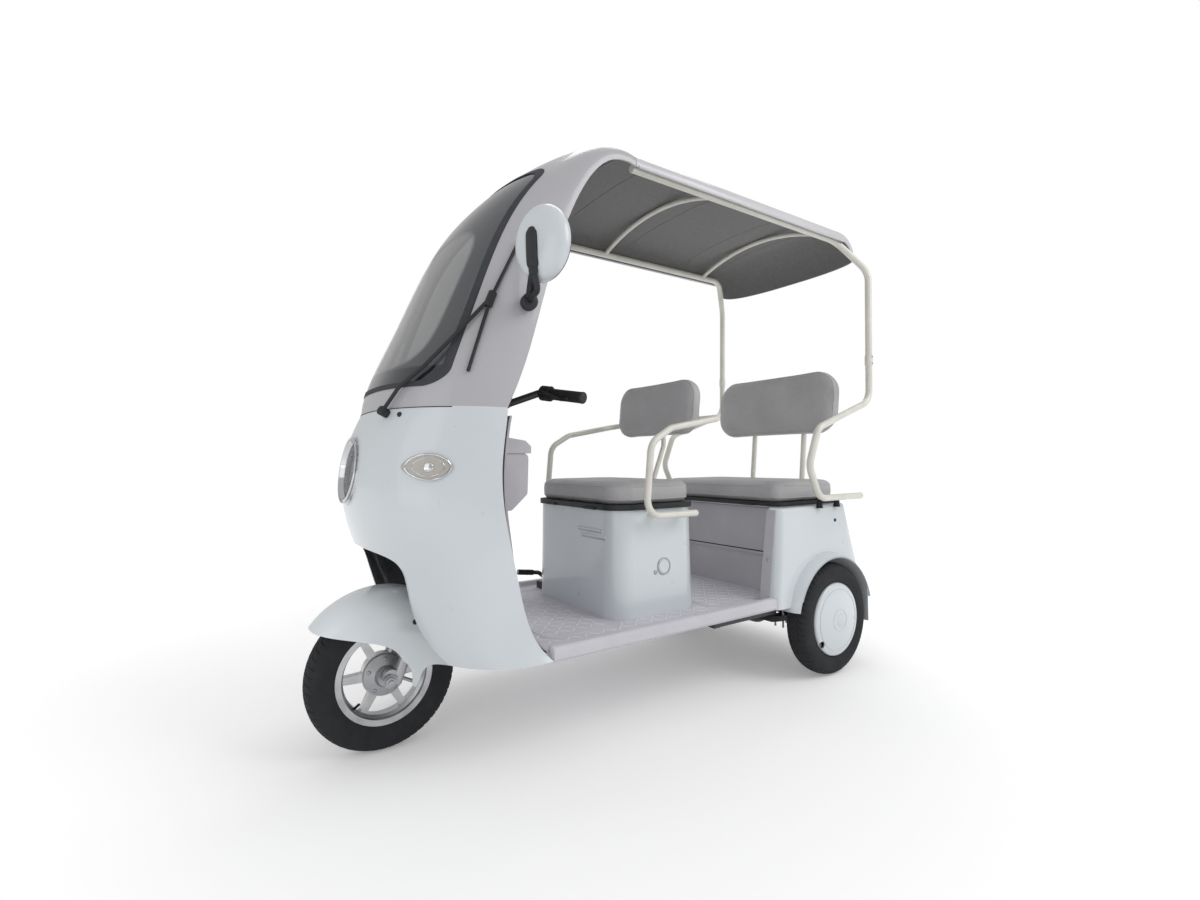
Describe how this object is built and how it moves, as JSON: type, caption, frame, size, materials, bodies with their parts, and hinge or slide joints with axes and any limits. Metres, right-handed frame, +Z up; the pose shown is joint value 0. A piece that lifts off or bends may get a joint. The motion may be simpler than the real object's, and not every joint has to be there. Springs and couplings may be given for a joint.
{
  "type": "covered electric passenger tricycle",
  "caption": "Three-wheeled electric runabout with a full front screen, arched canopy, driver seat box, rear bench, steered front wheel and lifting seat lids.",
  "frame": {"origin": "on the floor under the centre of the overall box", "axes": "+X to the vehicle's left, -Y forwards, +Z up"},
  "size_m": [1.014, 2.1274, 1.798],
  "materials": {
    "shell_paint": "painted ABS, pale mint white",
    "pillar_paint": "painted ABS, mauve grey",
    "pillar_plastic": "moulded polypropylene, mauve grey",
    "floor_plastic": "ribbed moulded deck",
    "black_plastic": "textured black moulding",
    "black_rubber": "moulded rubber",
    "tyre_rubber": "road tyre",
    "cast_alloy": "cast and machined",
    "silver_steel": "silver enamel",
    "black_steel": "black enamel",
    "ivory_tube": "ivory powder coat",
    "seat_vinyl": "grained grey vinyl over foam",
    "tinted_screen": "smoked polycarbonate",
    "clear_lens": "clear polycarbonate",
    "amber_lens": "clear lamp lens over a warm reflector",
    "red_lens": "red lamp lens",
    "chrome_trim": "bright plated bezel",
    "canopy_skin": "light grey roof moulding",
    "lining_cloth": "dark grey roof lining"
  },
  "bodies": {
    "body": {"front_cowl": "shell_paint", "headlight_housing": "chrome_trim", "headlight_lens": "clear_lens", "turn_signals": "amber_lens", "windscreen_surround": "pillar_paint", "windscreen_seal": "black_rubber", "windscreen": "tinted_screen", "leg_shield": "pillar_plastic", "glove_boxes": "pillar_plastic", "chassis_frame": "black_steel", "floor_pan": "floor_plastic", "driver_seat_box": "shell_paint", "driver_armrest": "ivory_tube", "driver_backrest": "seat_vinyl", "battery": "black_plastic", "rear_body": "shell_paint", "wheel_arch_liners": "black_plastic", "bench_front_panel": "pillar_plastic", "rear_backrest": "seat_vinyl", "backrest_posts": "ivory_tube", "rear_post_left": "ivory_tube", "rear_post_right": "ivory_tube", "roof_bows": "ivory_tube", "canopy_cover": "canopy_skin", "canopy_lining": "lining_cloth", "rear_axle": "black_steel", "leaf_springs": "black_steel", "mirror_arms": "black_plastic", "mirrors": "shell_paint", "tail_lights": "red_lens", "plate_bracket": "black_plastic", "parking_brake": "black_steel", "brake_pedal": "black_steel", "wiper": "black_plastic"},
    "steering": {"front_fork": "silver_steel", "front_fender": "shell_paint", "handlebar": "black_steel", "handlebar_grips": "black_rubber", "instrument": "black_plastic", "front_brake_plate": "silver_steel"},
    "front_wheel": {"front_tyre": "tyre_rubber", "front_rim": "cast_alloy"},
    "rear_wheel_left": {"rear_tyre_left": "tyre_rubber", "rear_rim_left": "silver_steel", "wheel_cover_left": "shell_paint"},
    "rear_wheel_right": {"rear_tyre_right": "tyre_rubber", "rear_rim_right": "silver_steel", "wheel_cover_right": "shell_paint"},
    "driver_seat_lid": {"driver_seat_base": "black_plastic", "driver_cushion": "seat_vinyl"},
    "bench_lid": {"bench_base": "black_plastic", "bench_cushion": "seat_vinyl"},
    "glove_door_left": {"glove_lid_left": "pillar_plastic"},
    "glove_door_right": {"glove_lid_right": "pillar_plastic"}
  },
  "joints": [
    {"name": "steering_turn", "type": "hinge", "parent": "body", "child": "steering", "pos_m": [0, -0.82904, 0.2075], "axis": [0, 0.3746, 0.9272], "range_deg": [-32, 32]},
    {"name": "front_wheel_spin", "type": "hinge", "parent": "steering", "child": "front_wheel", "pos_m": [0, -0.856, 0.2075], "axis": [1, 0, 0], "continuous": true},
    {"name": "rear_wheel_left_spin", "type": "hinge", "parent": "body", "child": "rear_wheel_left", "pos_m": [0.374, 0.7, 0.2075], "axis": [1, 0, 0], "continuous": true},
    {"name": "rear_wheel_right_spin", "type": "hinge", "parent": "body", "child": "rear_wheel_right", "pos_m": [-0.374, 0.7, 0.2075], "axis": [1, 0, 0], "continuous": true},
    {"name": "driver_seat_lid_hinge", "type": "hinge", "parent": "body", "child": "driver_seat_lid", "pos_m": [0, -0.219, 0.649], "axis": [1, 0, 0], "range_deg": [0, 70]},
    {"name": "bench_lid_hinge", "type": "hinge", "parent": "body", "child": "bench_lid", "pos_m": [0, 0.4935, 0.632], "axis": [1, 0, 0], "range_deg": [0, 70]},
    {"name": "glove_door_left_hinge", "type": "hinge", "parent": "body", "child": "glove_door_left", "pos_m": [0.16, -0.6, 0.868], "axis": [1, 0, 0], "range_deg": [0, 40]},
    {"name": "glove_door_right_hinge", "type": "hinge", "parent": "body", "child": "glove_door_right", "pos_m": [-0.16, -0.6, 0.868], "axis": [1, 0, 0], "range_deg": [0, 40]}
  ]
}
